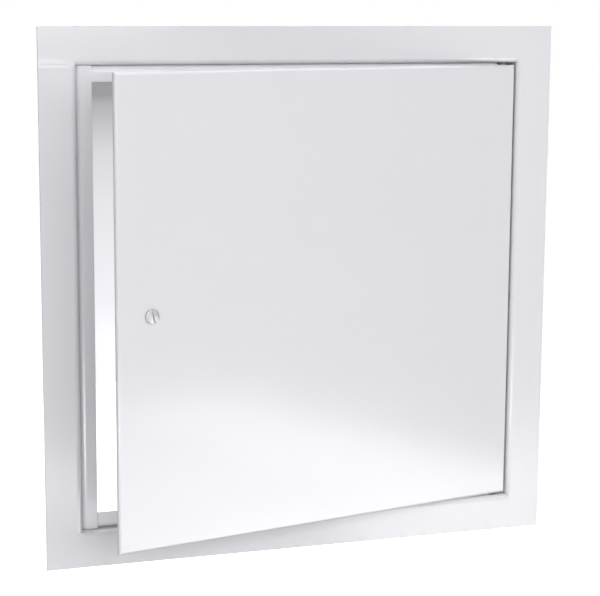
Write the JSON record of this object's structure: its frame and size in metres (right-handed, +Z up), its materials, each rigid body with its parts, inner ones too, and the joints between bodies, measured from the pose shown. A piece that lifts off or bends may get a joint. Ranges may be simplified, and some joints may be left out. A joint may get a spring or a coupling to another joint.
{
  "type": "access panel",
  "caption": "Square flush access panel for a wall or ceiling: trim frame, steel door on a concealed pivot rod, and a cam latch turned with a screwdriver.",
  "frame": {"origin": "centre of the opening on the wall plane, where the backs of the trim flanges lie", "axes": "+Y into the wall, +Z up, +X towards the hinge side"},
  "size_m": [0.3556, 0.1052, 0.3556],
  "materials": {
    "frame_paint": "white powder coat, satin",
    "door_paint": "white powder coat, satin",
    "nylon": "grey nylon",
    "rod_steel": "zinc plated, drawn",
    "latch_steel": "bright zinc plate",
    "cam_steel": "zinc plated, stamped"
  },
  "bodies": {
    "frame": {"head_member": "frame_paint", "hinge_member": "frame_paint", "sill_member": "frame_paint", "latch_member": "frame_paint", "head_stop": "frame_paint", "hinge_stop": "frame_paint", "sill_stop": "frame_paint", "latch_stop": "frame_paint", "head_washer": "nylon", "sill_washer": "nylon"},
    "door": {"door_panel": "door_paint", "pivot_rod": "rod_steel", "upper_strap": "door_paint", "middle_strap": "door_paint", "lower_strap": "door_paint", "latch_plate": "door_paint"},
    "latch": {"latch_bolt": "latch_steel", "latch_spacer": "latch_steel", "cam_arm": "cam_steel", "cam_washer": "latch_steel", "spring_washer": "latch_steel", "lock_nut": "latch_steel"}
  },
  "joints": [
    {"name": "door_swing", "type": "hinge", "parent": "frame", "child": "door", "pos_m": [0.1444, 0.005, 0], "axis": [0, 0, 1], "range_deg": [-12.3, 92.7]},
    {"name": "cam_turn", "type": "hinge", "parent": "door", "child": "latch", "pos_m": [-0.11961, -0.05768, 0], "axis": [0.213, -0.977, 0], "range_deg": [-14, 76]}
  ]
}
